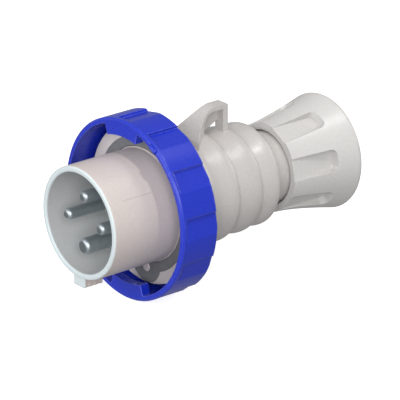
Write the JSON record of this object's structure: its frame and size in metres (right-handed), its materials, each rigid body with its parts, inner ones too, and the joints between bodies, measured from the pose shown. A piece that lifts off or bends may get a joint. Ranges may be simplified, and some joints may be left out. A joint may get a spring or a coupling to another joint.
{
  "type": "industrial pin and sleeve plug",
  "caption": "Straight industrial cable plug with a keyed collar round its pins, a toothed bayonet locking ring, a ribbed grip with a tether loop and a flared cable gland nut.",
  "frame": {"origin": "on the plug's axis, in the sealing face of the flat gasket at the foot of the collar", "axes": "+Y along the axis towards the cable, so the pins point to -Y; +Z towards the tether loop (twelve o'clock), the key is at -Z; +X is three o'clock seen from the pins"},
  "size_m": [0.079, 0.1349, 0.079],
  "materials": {
    "housing_grey": "fine moulded satin",
    "ring_blue": "smooth moulded",
    "gasket_rubber": "soft matte",
    "seal_rubber": "soft matte",
    "carrier_plastic": "moulded matte",
    "pin_metal": "nickel-plated brass, turned",
    "screw_steel": "zinc-plated"
  },
  "bodies": {
    "plug_body": {"front_housing": "housing_grey", "rear_housing": "housing_grey", "face_gasket": "gasket_rubber", "housing_seal": "seal_rubber", "gland_seal": "seal_rubber", "contact_carrier": "carrier_plastic", "carrier_cover": "carrier_plastic", "thrust_ring": "carrier_plastic", "pin_l1": "pin_metal", "pin_l2": "pin_metal", "pin_l3": "pin_metal", "pin_earth": "pin_metal", "terminal_screw_l1": "screw_steel", "terminal_screw_l2": "screw_steel", "terminal_screw_l3": "screw_steel", "terminal_screw_earth": "screw_steel", "carrier_screws": "screw_steel", "cover_screw": "screw_steel"},
    "ring": {"locking_ring": "ring_blue"},
    "gland_clamp": {"clamp_basket": "carrier_plastic"},
    "nut": {"gland_nut": "housing_grey"}
  },
  "joints": [
    {"name": "ring_turn", "type": "hinge", "parent": "plug_body", "child": "ring", "pos_m": [0, 0, 0], "axis": [0, -1, 0], "range_deg": [0, 40]},
    {"name": "gland_travel", "type": "slide", "parent": "plug_body", "child": "gland_clamp", "axis": [0, 1, 0], "range_m": [0, 0.006]},
    {"name": "gland_nut_turn", "type": "hinge", "parent": "gland_clamp", "child": "nut", "pos_m": [0, 0.0837, 0], "axis": [0, 1, 0], "range_deg": [0, 720]}
  ],
  "couplings": [
    {"joint": "gland_travel", "follows": "gland_nut_turn", "m_per_rad": 0.00047746}
  ]
}
